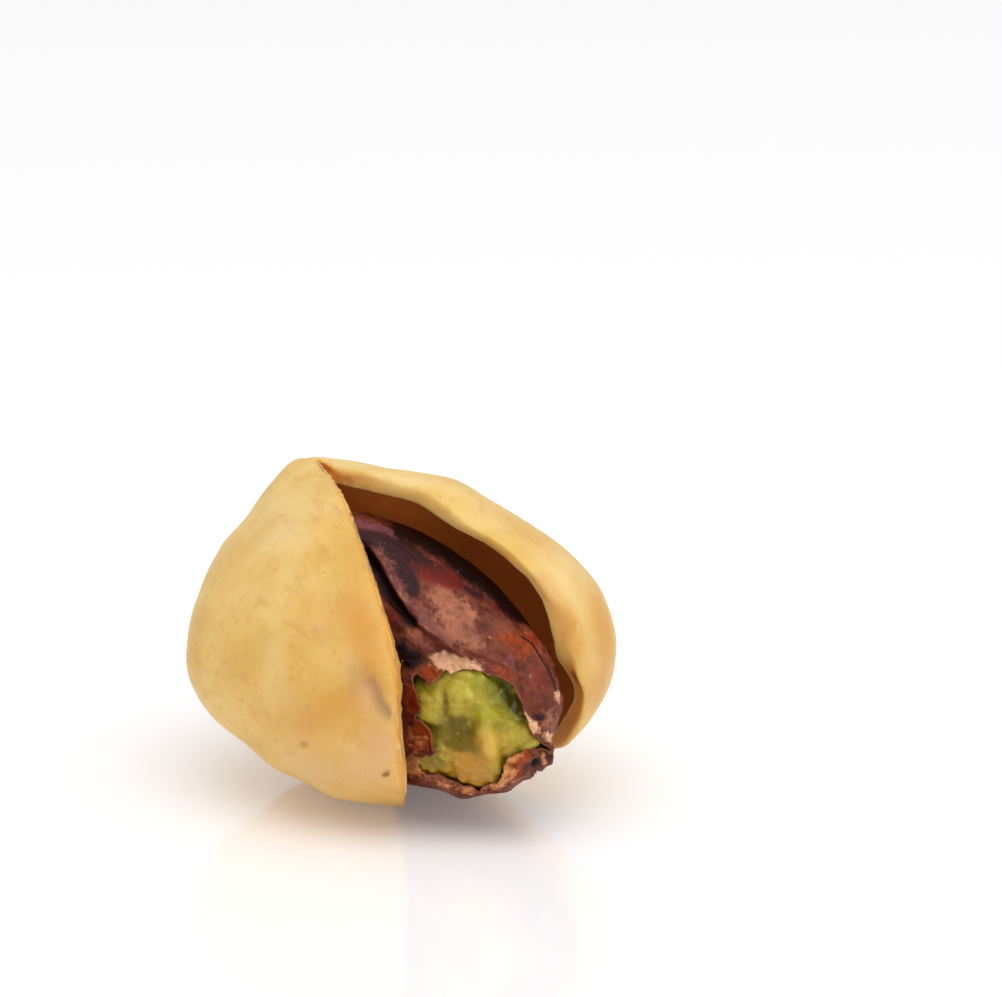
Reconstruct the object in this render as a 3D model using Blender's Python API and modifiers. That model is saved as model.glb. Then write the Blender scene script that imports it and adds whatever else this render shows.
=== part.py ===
"""A pistachio in its split shell, lying on its side, with its skin torn open on the green kernel.

The nut rests on the plane z = 0. X is to its right, its open tip points towards -Y and slightly down,
and its stem end is at +Y. All sizes below are in millimetres and degrees.
"""
import math

import bmesh
import bpy
from mathutils import Matrix, Vector

MM = 0.001

# The shell is drawn closed, in its own axes: s from the stem to the tip, t across, w up along the seam.
# SEAM_RADII is the outline of the seam, every 45 degrees from the tip by way of the top.
SEAM_RADII = (9.7, 7.25, 5.9, 7.2, 10.15, 7.3, 6.25, 6.7)
WALL = 0.72

# A valve is a dome on the seam. Its middle is offset by middle (s, w), and a larger fullness is a squarer section.
LEFT_VALVE = {
    "side": -1,
    "depth": 6.72,
    "middle": (-0.25, -0.26),
    "fullness": {"tip": 1.69, "top": 1.60, "stem": 1.48, "bottom": 1.70},
    "opens": 5.7,
}
RIGHT_VALVE = {
    "side": 1,
    "depth": 6.82,
    "middle": (0.03, -1.15),
    "fullness": {"tip": 1.72, "top": 1.60, "stem": 1.80, "bottom": 1.83},
    "opens": 24.7,
}

# The valves stay grown together from the stem to the hinge. They bend open round BEND_MIDDLE, over a short
# stretch at the seam and a longer one further out, so that the back of the open valve has no crease.
HINGE = -5.93
BEND_MIDDLE = -4.29
SEAM_BEND = 3.28
BEND_SPREAD = 1.25

# The scar where the nut hung on its stem, a shallow dish at the stem end, and the low ridge along the seam.
SCAR_RADIUS = 1.5
SCAR_DEPTH = 0.35
SEAM_RIDGE = 0.12
SEAM_RIDGE_WIDTH = 0.5

# How the nut lies: turned about the upright axis, dipped at the tip, and rolled to the right.
YAW = 1.0
DIP = 10.6
ROLL = -9.2

# The underside is let down and pressed flat round the foot, the place under the nut's weight.
FLAT_DEPTH = 0.25
SETTLE_HEIGHT = 2.5
FOOT_MIDDLE = (0.65, -1.0)
FOOT_RADIUS = 5.5
FOOT_SINK = 0.45

# A valve's middle is smoothed this far out, as a share of its reach, so that it has no point.
SMOOTH_REACH = 0.3
SMOOTH_ROUNDS = 2

# The kernel in its skin, an egg shape whose middle is given in the nut's world axes.
KERNEL_MIDDLE = (0.55, -1.73, -0.25)
KERNEL_AZIMUTH = 18.7
KERNEL_ELEVATION = -10.9
KERNEL_RADII = (4.04, 4.40, 8.95)  # half its width, height and length
SKIN_WALL = 0.32
SKIN_GAP = 0.16

# Lengthwise folds in the skin: place round the kernel, width, start and end along it, and height.
SKIN_FOLDS = (
    {"around": 119, "width": 13, "start": -6.0, "end": 7.0, "height": 0.30},
    {"around": 86, "width": 10, "start": -5.0, "end": 5.5, "height": 0.16},
    {"around": 54, "width": 11, "start": -6.5, "end": 6.5, "height": 0.18},
    {"around": 160, "width": 11, "start": -6.5, "end": 3.5, "height": 0.14},
    {"around": 237, "width": 13, "start": -6.5, "end": 5.0, "height": 0.14},
    {"around": 312, "width": 13, "start": -6.5, "end": 6.0, "height": 0.14},
)
FOLD_FADE = 3.0

# The tear in the skin, seen along its facing direction: right and up from the kernel's middle.
TEAR_AZIMUTH = -16.0
TEAR_ELEVATION = 14.3
TEAR_OUTLINE = (
    (0.65, -1.55), (0.72, -1.05), (1.20, -1.20), (1.65, -0.90), (2.05, -0.95), (2.80, -0.78), (3.45, -1.02),
    (3.85, -1.15), (4.20, -1.60), (4.42, -2.15), (4.72, -2.75), (4.98, -3.15), (5.05, -3.50), (4.75, -3.72),
    (4.40, -3.76), (3.90, -4.08), (3.55, -4.50), (3.20, -4.86), (2.65, -4.98), (2.25, -4.82), (1.55, -4.72),
    (0.88, -4.48), (0.92, -4.08), (1.36, -3.62), (1.28, -3.22), (0.88, -2.72), (0.98, -2.15), (0.70, -1.85),
)
TEAR_BACK = 3.1
TEAR_FRONT = 10.0

# The bare part of the kernel swells out of the tear, with one ridge down it.
BARE_MIDDLE = (2.85, -2.85)
BARE_RADII = (1.75, 1.65)
BARE_SWELL = 0.42
RIDGE_LINE = ((3.0, -1.9), (3.75, -4.2))
RIDGE_WIDTH = 0.45
RIDGE_HEIGHT = 0.16

COLOURS = {
    "shell": ((0.80, 0.55, 0.24, 1.0), 0.45),
    "skin": ((0.17, 0.035, 0.045, 1.0), 0.60),
    "kernel": ((0.42, 0.40, 0.06, 1.0), 0.50),
}


def clear_scene():
    """Removes whatever the file opened with."""
    for item in list(bpy.data.objects):
        bpy.data.objects.remove(item, do_unlink=True)


def make_material(name):
    """One plain material for a sub-part."""
    colour, roughness = COLOURS[name]
    material = bpy.data.materials.new(name)
    material.use_nodes = True
    shader = material.node_tree.nodes["Principled BSDF"]
    shader.inputs["Base Color"].default_value = colour
    shader.inputs["Roughness"].default_value = roughness
    shader.inputs["Metallic"].default_value = 0.0
    return material


def make_object(name, mesh_builder, collection, parent):
    """A smooth-shaded object from a bmesh in millimetres."""
    mesh = bpy.data.meshes.new(name)
    mesh_builder.to_mesh(mesh)
    mesh_builder.free()
    mesh.transform(Matrix.Scale(MM, 4))
    mesh.shade_smooth()
    mesh.materials.append(make_material(name))
    item = bpy.data.objects.new(name, mesh)
    item.parent = parent
    collection.objects.link(item)
    return item


def smooth(value):
    """0 below 0, 1 above 1, and an even curve between."""
    value = min(max(value, 0.0), 1.0)
    return value * value * (3.0 - 2.0 * value)


def bell(distance, width):
    """A smooth bump, 1 at distance 0."""
    return math.exp(-(distance / width) ** 2)


def facing_axes(azimuth, elevation):
    """Right, up and towards-the-viewer directions of a view from azimuth and elevation."""
    turn, lift = math.radians(azimuth), math.radians(elevation)
    towards = Vector((math.sin(turn) * math.cos(lift), -math.cos(turn) * math.cos(lift), math.sin(lift)))
    right = Vector((math.cos(turn), math.sin(turn), 0.0))
    return right, towards.cross(right), towards


def seam_radius(angle):
    """The seam outline's radius at an angle, a smooth curve through SEAM_RADII."""
    count = len(SEAM_RADII)
    total = 0.0
    for index, radius in enumerate(SEAM_RADII):
        away = angle - 2.0 * math.pi * index / count
        half = math.sin(away / 2.0)
        weight = 1.0 if abs(half) < 1e-6 else math.sin(count * away / 2.0) / (count * math.tan(away / 2.0))
        total += weight * radius
    return total


def closed_valve_point(valve, reach, angle):
    """A point of the closed shell: reach is 0 in the middle of the valve and 1 at its seam."""
    along, up = math.cos(angle), math.sin(angle)
    fullness = valve["fullness"]
    power = fullness["tip"] * max(along, 0.0) ** 2 + fullness["stem"] * max(-along, 0.0) ** 2
    power += fullness["top"] * max(up, 0.0) ** 2 + fullness["bottom"] * max(-up, 0.0) ** 2
    rise = max(1.0 - reach ** power, 0.0) ** (1.0 / power)
    radius = reach * seam_radius(angle)
    offset = 1.0 - reach ** 2
    s = valve["middle"][0] * offset + radius * along
    w = valve["middle"][1] * offset + radius * up
    t = valve["side"] * valve["depth"] * rise

    ridge = SEAM_RIDGE * bell(t, SEAM_RIDGE_WIDTH)
    scar = SCAR_DEPTH * bell(math.hypot(t, w), SCAR_RADIUS) if s < 0.0 else 0.0
    return s + ridge * along + scar, t, w + ridge * up


def swing(s, t, opening):
    """Bends a point of a valve outwards by opening degrees towards +t."""
    angle = math.radians(opening)
    length = SEAM_BEND + BEND_SPREAD * abs(t)
    start = BEND_MIDDLE - length / 2.0
    if s <= start:
        return s, t
    turned = angle * min((s - start) / length, 1.0)
    radius = length / angle
    straight = max(s - start - length, 0.0)
    middle_s = start + radius * math.sin(turned) + straight * math.cos(angle)
    middle_t = radius * (1.0 - math.cos(turned)) + straight * math.sin(angle)
    return middle_s - t * math.sin(turned), middle_t + t * math.cos(turned)


def settle(vertices, floor):
    """Lets a valve's lowest side down to the floor and presses it flat round the foot."""
    drop = min(vertex.co.z for vertex in vertices) - floor + FLAT_DEPTH
    for vertex in vertices:
        share = 1.0 - smooth((vertex.co.z - floor) / SETTLE_HEIGHT)
        away = math.hypot(vertex.co.x - FOOT_MIDDLE[0], vertex.co.y - FOOT_MIDDLE[1]) / FOOT_RADIUS
        sink = drop + FOOT_SINK * (1.0 - smooth(away))
        vertex.co.z = max(vertex.co.z - sink * share, floor)


def make_shell(collection, parent):
    """Both valves as one open sheet, slit along the seam as far as the hinge, with the wall grown inwards."""
    sheet = bmesh.new()
    bmesh.ops.create_uvsphere(sheet, u_segments=56, v_segments=24, radius=1.0)
    slit = [
        edge for edge in sheet.edges
        if all(abs(vertex.co.z) < 1e-4 and seam_radius(math.atan2(-vertex.co.y, vertex.co.x)) * vertex.co.x > HINGE
               for vertex in edge.verts)
    ]
    bmesh.ops.split_edges(sheet, edges=slit)

    lie = Matrix.Rotation(math.radians(YAW), 3, "Z") @ Matrix.Rotation(math.radians(DIP), 3, "X")
    lie = lie @ Matrix.Rotation(math.radians(ROLL), 3, "Y")
    sides = {vertex: sum(face.calc_center_median().z for face in vertex.link_faces) for vertex in sheet.verts}
    valves = {-1: [], 1: []}
    middles = []
    for vertex, side in sides.items():
        valve = RIGHT_VALVE if side > 0.0 else LEFT_VALVE
        reach = min(math.hypot(vertex.co.x, vertex.co.y), 1.0)
        if reach < SMOOTH_REACH:
            middles.append(vertex)
        s, t, w = closed_valve_point(valve, reach, math.atan2(-vertex.co.y, vertex.co.x))
        s, t = swing(s, t, valve["side"] * valve["opens"])
        vertex.co = lie @ Vector((t, -s, w))
        valves[valve["side"]].append(vertex)

    for _ in range(SMOOTH_ROUNDS):
        bmesh.ops.smooth_vert(sheet, verts=middles, factor=0.5, use_axis_x=True, use_axis_y=True, use_axis_z=True)
    floor = min(vertex.co.z for vertex in sheet.verts) + FLAT_DEPTH
    for vertices in valves.values():
        settle(vertices, floor)

    shell = make_object("shell", sheet, collection, parent)
    wall = shell.modifiers.new("wall", "SOLIDIFY")
    wall.thickness = WALL * MM
    wall.offset = -1.0
    wall.use_even_offset = True
    wall.use_rim = True
    return shell


def fold_height(around, along):
    """How far the skin's folds stand out at a place round the kernel, in degrees, and along it."""
    height = 0.0
    for fold in SKIN_FOLDS:
        away = (around - fold["around"] + 180.0) % 360.0 - 180.0
        ends = smooth((along - fold["start"]) / FOLD_FADE) * smooth((fold["end"] - along) / FOLD_FADE)
        height += fold["height"] * bell(away, fold["width"]) * ends
    return height


def kernel_shape(segments, rings, inset):
    """The kernel's egg shape as a bmesh, shrunk by inset, with the outward direction at each vertex."""
    right, up, towards = facing_axes(KERNEL_AZIMUTH, KERNEL_ELEVATION)
    shape = bmesh.new()
    bmesh.ops.create_uvsphere(shape, u_segments=segments, v_segments=rings, radius=1.0)
    outward = {}
    for vertex in shape.verts:
        x, y, z = vertex.co
        width, height, length = (radius - inset for radius in KERNEL_RADII)
        place = Vector((x * width, y * height, z * length))
        normal = Vector((x / width, y / height, z / length)).normalized()
        vertex.co = right * place.x + up * place.y + towards * place.z
        outward[vertex] = (right * normal.x + up * normal.y + towards * normal.z, place)
    return shape, outward


def make_skin(collection, parent, cutters):
    """The papery skin: a thin folded hull round the kernel, with the tear cut out of it."""
    hull, outward = kernel_shape(segments=44, rings=24, inset=0.0)
    for vertex, (normal, place) in outward.items():
        around = math.degrees(math.atan2(place.y, place.x))
        vertex.co += normal * fold_height(around, place.z)
    bmesh.ops.translate(hull, verts=hull.verts, vec=Vector(KERNEL_MIDDLE))
    skin = make_object("skin", hull, collection, parent)
    wall = skin.modifiers.new("wall", "SOLIDIFY")
    wall.thickness = SKIN_WALL * MM
    wall.offset = -1.0
    tear = skin.modifiers.new("tear", "BOOLEAN")
    tear.operation = "DIFFERENCE"
    tear.solver = "EXACT"
    tear.object = make_tear_cutter(cutters, parent)
    return skin


def make_tear_cutter(cutters, parent):
    """A prism of the tear's ragged outline, pointing out of the kernel."""
    right, up, towards = facing_axes(TEAR_AZIMUTH, TEAR_ELEVATION)
    outline = bpy.data.curves.new("tear_outline", "CURVE")
    outline.dimensions = "2D"
    outline.fill_mode = "BOTH"
    outline.extrude = (TEAR_FRONT - TEAR_BACK) / 2.0 * MM
    spline = outline.splines.new("POLY")
    spline.points.add(len(TEAR_OUTLINE) - 1)
    spline.use_cyclic_u = True
    for point, (x, y) in zip(spline.points, TEAR_OUTLINE):
        point.co = (x * MM, y * MM, 0.0, 1.0)
    guide = bpy.data.objects.new("tear_guide", outline)
    cutters.objects.link(guide)
    bpy.context.view_layer.update()

    mesh = bpy.data.meshes.new_from_object(guide.evaluated_get(bpy.context.evaluated_depsgraph_get()))
    bpy.data.objects.remove(guide, do_unlink=True)
    weld = bmesh.new()
    weld.from_mesh(mesh)
    bmesh.ops.remove_doubles(weld, verts=weld.verts, dist=0.001 * MM)
    bmesh.ops.recalc_face_normals(weld, faces=weld.faces)
    weld.to_mesh(mesh)
    weld.free()

    cutter = bpy.data.objects.new("tear_cutter", mesh)
    middle = Vector(KERNEL_MIDDLE) + towards * (TEAR_FRONT + TEAR_BACK) / 2.0
    cutter.matrix_local = Matrix.Translation(middle * MM) @ Matrix((right, up, towards)).transposed().to_4x4()
    cutter.parent = parent
    cutter.hide_render = True
    cutter.display_type = "WIRE"
    cutters.objects.link(cutter)
    return cutter


def distance_to_ridge(x, y):
    """Distance from a point to the ridge line on the bare part of the kernel."""
    start, end = (Vector(point) for point in RIDGE_LINE)
    along = end - start
    share = min(max((Vector((x, y)) - start).dot(along) / along.length_squared, 0.0), 1.0)
    return (Vector((x, y)) - start - along * share).length


def make_kernel(collection, parent):
    """The green seed inside the skin, swollen where the tear leaves it bare."""
    seed, outward = kernel_shape(segments=36, rings=20, inset=SKIN_WALL + SKIN_GAP)
    right, up, towards = facing_axes(TEAR_AZIMUTH, TEAR_ELEVATION)
    for vertex, (normal, _) in outward.items():
        x, y, depth = vertex.co.dot(right), vertex.co.dot(up), vertex.co.dot(towards)
        if depth < TEAR_BACK:
            continue
        away = math.hypot((x - BARE_MIDDLE[0]) / BARE_RADII[0], (y - BARE_MIDDLE[1]) / BARE_RADII[1])
        bare = smooth(1.6 * (1.0 - away))
        ridge = RIDGE_HEIGHT * bell(distance_to_ridge(x, y), RIDGE_WIDTH)
        vertex.co += normal * (BARE_SWELL + ridge) * bare
    bmesh.ops.translate(seed, verts=seed.verts, vec=Vector(KERNEL_MIDDLE))
    return make_object("kernel", seed, collection, parent)


def stand_on_origin(parent, items):
    """Moves the whole nut so that the middle of its box is over the origin and its lowest point is at z = 0."""
    bpy.context.view_layer.update()
    depsgraph = bpy.context.evaluated_depsgraph_get()
    corners = []
    for item in items:
        solid = item.evaluated_get(depsgraph)
        corners += [vertex.co.copy() for vertex in solid.data.vertices]
    low = Vector(min(corner[axis] for corner in corners) for axis in range(3))
    high = Vector(max(corner[axis] for corner in corners) for axis in range(3))
    parent.location = (-(low.x + high.x) / 2.0, -(low.y + high.y) / 2.0, -low.z)


def main():
    """Builds the nut: its shell, its skin and its kernel."""
    clear_scene()
    collection = bpy.data.collections.new("pistachio")
    cutters = bpy.data.collections.new("cutters")
    bpy.context.scene.collection.children.link(collection)
    bpy.context.scene.collection.children.link(cutters)
    nut = bpy.data.objects.new("nut", None)
    collection.objects.link(nut)
    items = [
        make_shell(collection, nut),
        make_skin(collection, nut, cutters),
        make_kernel(collection, nut),
    ]
    stand_on_origin(nut, items)


main()
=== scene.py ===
import math

import bmesh
import bpy
from mathutils import Matrix, Vector, kdtree, noise


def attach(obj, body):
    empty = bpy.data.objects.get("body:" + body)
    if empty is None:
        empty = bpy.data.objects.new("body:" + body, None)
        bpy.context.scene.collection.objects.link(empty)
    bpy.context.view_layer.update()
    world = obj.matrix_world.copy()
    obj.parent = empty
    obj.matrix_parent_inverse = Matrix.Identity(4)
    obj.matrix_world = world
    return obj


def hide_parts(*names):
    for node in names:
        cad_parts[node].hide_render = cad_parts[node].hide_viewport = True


# A pistachio in its split shell, with its papery skin torn open on the green kernel.
# Pieces are made in millimetres, in the part's own frame, and brought to metres when each is finished.

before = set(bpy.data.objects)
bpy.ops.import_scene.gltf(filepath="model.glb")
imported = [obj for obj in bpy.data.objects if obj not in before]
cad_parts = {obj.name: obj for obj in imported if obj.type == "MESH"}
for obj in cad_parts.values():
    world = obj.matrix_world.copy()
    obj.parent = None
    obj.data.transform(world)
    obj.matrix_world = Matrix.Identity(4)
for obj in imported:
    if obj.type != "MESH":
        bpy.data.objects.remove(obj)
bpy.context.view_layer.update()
mm = 0.001


# Small tools that every piece uses

def hexColour(code):
    # an sRGB hex colour as the linear colour that shaders take
    shares = [int(code[i:i + 2], 16) / 255 for i in (1, 3, 5)]
    return [s / 12.92 if s <= 0.04045 else ((s + 0.055) / 1.055) ** 2.4 for s in shares] + [1.0]


def addNode(tree, kind, settings={}, inputs={}, stops=()):
    # one shader node with its settings, its inputs (numbers or sockets to link) and its ramp's stops
    node = tree.nodes.new("ShaderNode" + kind)
    for name, value in settings.items():
        setattr(node, name, value)
    for name, value in inputs.items():
        if isinstance(value, bpy.types.NodeSocket):
            tree.links.new(value, node.inputs[name])
        else:
            node.inputs[name].default_value = value
    if stops:
        ramp = node.color_ramp.elements
        ramp.remove(ramp[1])
        for number, (place, colour) in enumerate(stops):
            stop = ramp[0] if number == 0 else ramp.new(place)
            stop.position, stop.color = place, colour
    return node


def newMaterial(name):
    material = bpy.data.materials.new(name)
    material.use_nodes = True
    material.node_tree.nodes.clear()
    return material, material.node_tree


def brokenMarks(tree, names, pattern, wander):
    # the piece's painted marks, with their edges broken up by a pattern
    stray = addNode(tree, "Math", {"operation": "MULTIPLY_ADD"}, {
        0: pattern, 1: wander, 2: -0.5 * wander}).outputs[0]
    marks = {}
    for name in names:
        mark = addNode(tree, "Attribute", {"attribute_name": name}).outputs["Fac"]
        marks[name] = addNode(tree, "Math", {"operation": "ADD"}, {0: mark, 1: stray}).outputs[0]
    return marks


def paintLayers(tree, colour, layers):
    # lays colours over one another, each where its source goes from a low to a high value, up to its share
    for source, low, high, share, code in layers:
        amount = addNode(tree, "MapRange", {"interpolation_type": "SMOOTHSTEP"}, {
            "Value": source, "From Min": low, "From Max": high, "To Min": 0.0, "To Max": share})
        colour = addNode(tree, "MixRGB", inputs={
            "Fac": amount.outputs["Result"], "Color1": colour, "Color2": hexColour(code)}).outputs["Color"]
    return colour


def smooth(value):
    # 0 below 0, 1 above 1 and an even curve between
    value = min(max(value, 0.0), 1.0)
    return value * value * (3.0 - 2.0 * value)


def bell(distance, width):
    return math.exp(-(distance / width) ** 2)


def axesOf(azimuth, elevation):
    # right, up and towards the viewer, for a view from that azimuth and elevation
    turn, lift = math.radians(azimuth), math.radians(elevation)
    towards = Vector((math.sin(turn) * math.cos(lift), -math.cos(turn) * math.cos(lift), math.sin(lift)))
    right = Vector((math.cos(turn), math.sin(turn), 0.0))
    return right, towards.cross(right), towards


# The view: places on the pieces are given in millimetres right of and above the nut's middle,
# as seen from here
viewIs = {
    "azimuth": -16.0,
    "elevation": 14.3,
    "distance": 182.65,
    "nutMiddle": Vector((-1.004, 0.106, 6.038)),
    "aimRight": 5.114,
    "aimUp": 5.095,
    "lens": 170.14,
    "sensor": 36.0,
    "clip": (0.01, 10.0),  # in metres
}
viewRight, viewUp, viewTowards = axesOf(viewIs["azimuth"], viewIs["elevation"])


def seenFromFront(point):
    # where a point shows in the view, right and up in mm, and how far it stands towards the viewer
    away = point - viewIs["nutMiddle"]
    depth = away.dot(viewTowards)
    grown = viewIs["distance"] / (viewIs["distance"] - depth)
    return away.dot(viewRight) * grown, away.dot(viewUp) * grown, depth


def oval(at, size, turn=0.0, **amount):
    # a soft oval as seen from the front: its middle, half widths, turn and what it adds there
    return {"at": at, "size": size, "turn": turn, **amount}


def band(path, left, right, **amount):
    # a soft band along a path as seen from the front, with its widths to the path's left and right
    return {"path": path, "left": left, "right": right, **amount}


def patchAmount(x, y, patch):
    # 1 in the middle of an oval or on a band's path, fading outwards
    if "path" in patch:
        off = offPath(x, y, patch["path"])
        return bell(off, patch["left"] if off >= 0.0 else patch["right"])
    turn = math.radians(patch["turn"])
    dx, dy = x - patch["at"][0], y - patch["at"][1]
    along = (dx * math.cos(turn) + dy * math.sin(turn)) / patch["size"][0]
    across = (dy * math.cos(turn) - dx * math.sin(turn)) / patch["size"][1]
    return math.exp(-along * along - across * across)


def offPath(x, y, path):
    # distance to a path of points, positive on its left
    best, side = 1e9, 1.0
    for (ax, ay), (bx, by) in zip(path, path[1:]):
        lx, ly = bx - ax, by - ay
        share = min(max(((x - ax) * lx + (y - ay) * ly) / (lx * lx + ly * ly), 0.0), 1.0)
        dx, dy = x - ax - lx * share, y - ay - ly * share
        distance = math.hypot(dx, dy)
        if distance < best:
            best, side = distance, 1.0 if lx * (y - ay) - ly * (x - ax) >= 0.0 else -1.0
    return best * side


def patchSum(x, y, patches, what):
    # what the patches add together at a place
    return sum(patchAmount(x, y, patch) * patch[what] for patch in patches)


def facesViewer(normal, facing):
    # 1 where a surface faces the viewer, 0 where it faces away; facing says how far round it fades,
    # and how fast
    return smooth((normal.dot(viewTowards) + facing[0]) * facing[1])


def putAttribute(mesh, name, values):
    mesh.attributes.new(name, "FLOAT", "POINT").data.foreach_set("value", values)


def finishedMesh(builder, name, modifiers=()):
    # a bmesh as a mesh, with modifiers applied to it
    mesh = bpy.data.meshes.new(name)
    builder.to_mesh(mesh)
    builder.free()
    if not modifiers:
        return mesh
    holder = bpy.data.objects.new(name + "Maker", mesh)
    bpy.context.scene.collection.objects.link(holder)
    for kind, settings in modifiers:
        modifier = holder.modifiers.new(kind.lower(), kind)
        for key, value in settings.items():
            setattr(modifier, key, value)
    bpy.context.view_layer.update()
    made = bpy.data.meshes.new_from_object(holder.evaluated_get(bpy.context.evaluated_depsgraph_get()))
    bpy.data.objects.remove(holder, do_unlink=True)
    made.name = name
    return made


def finishPiece(mesh, name, material, node):
    # brings a piece to metres, gives it its material and lets it stand for its node
    mesh.transform(Matrix.Scale(mm, 4))
    mesh.shade_smooth()
    mesh.materials.clear()
    mesh.materials.append(material)
    piece = bpy.data.objects.new(name, mesh)
    bpy.context.scene.collection.objects.link(piece)
    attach(piece, "root")
    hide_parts(node)
    triangles = sum(len(face.vertices) - 2 for face in mesh.polygons)
    print(name, len(mesh.vertices), "points", triangles, "triangles")
    return piece


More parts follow.
